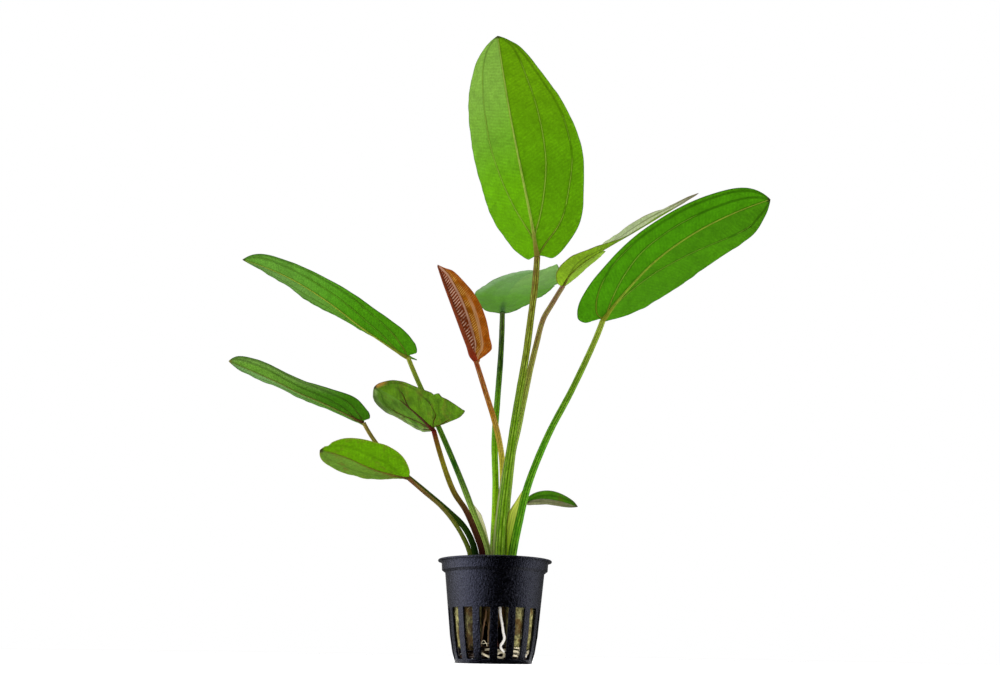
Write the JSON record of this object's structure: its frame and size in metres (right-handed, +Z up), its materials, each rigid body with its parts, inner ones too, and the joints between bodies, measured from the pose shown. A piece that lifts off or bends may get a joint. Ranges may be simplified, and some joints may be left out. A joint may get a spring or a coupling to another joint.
{
  "type": "potted echinodorus",
  "caption": "Young aquarium sword plant with long-stalked oval leaves, growing in rockwool in a slotted black net pot.",
  "frame": {"origin": "centre of the net pot's flat underside", "axes": "+Z up, -Y towards the side that faces the viewer, +X to that viewer's right"},
  "size_m": [0.2766, 0.1463, 0.313],
  "materials": {
    "net_pot": "satin",
    "rockwool": "matte",
    "crown": "matte",
    "root_mat": "matte",
    "root_white": "satin",
    "root_tan_1": "satin",
    "root_tan_2": "satin",
    "root_red": "satin",
    "stalk_top": "satin",
    "stalk_twisted": "satin",
    "stalk_right": "satin",
    "stalk_back": "satin",
    "stalk_young": "satin",
    "stalk_left_upper": "satin",
    "stalk_front": "satin",
    "stalk_left_low": "satin",
    "stalk_left": "satin",
    "stalk_small": "satin",
    "leaf_top": "satin",
    "leaf_twisted": "satin",
    "leaf_right": "satin",
    "leaf_back": "satin",
    "leaf_young": "satin",
    "leaf_left_upper": "satin",
    "leaf_left": "satin",
    "leaf_front": "satin",
    "leaf_left_low": "satin",
    "leaf_small": "satin"
  },
  "bodies": {
    "root": {"net_pot": "net_pot", "rockwool": "rockwool", "crown": "crown", "root_mat": "root_mat", "root_white": "root_white", "root_tan_1": "root_tan_1", "root_tan_2": "root_tan_2", "root_red": "root_red", "stalk_top": "stalk_top", "stalk_twisted": "stalk_twisted", "stalk_right": "stalk_right", "stalk_back": "stalk_back", "stalk_young": "stalk_young", "stalk_left_upper": "stalk_left_upper", "stalk_front": "stalk_front", "stalk_left_low": "stalk_left_low", "stalk_left": "stalk_left", "stalk_small": "stalk_small", "leaf_top": "leaf_top", "leaf_twisted": "leaf_twisted", "leaf_right": "leaf_right", "leaf_back": "leaf_back", "leaf_young": "leaf_young", "leaf_left_upper": "leaf_left_upper", "leaf_left": "leaf_left", "leaf_front": "leaf_front", "leaf_left_low": "leaf_left_low", "leaf_small": "leaf_small"}
  },
  "joints": []
}
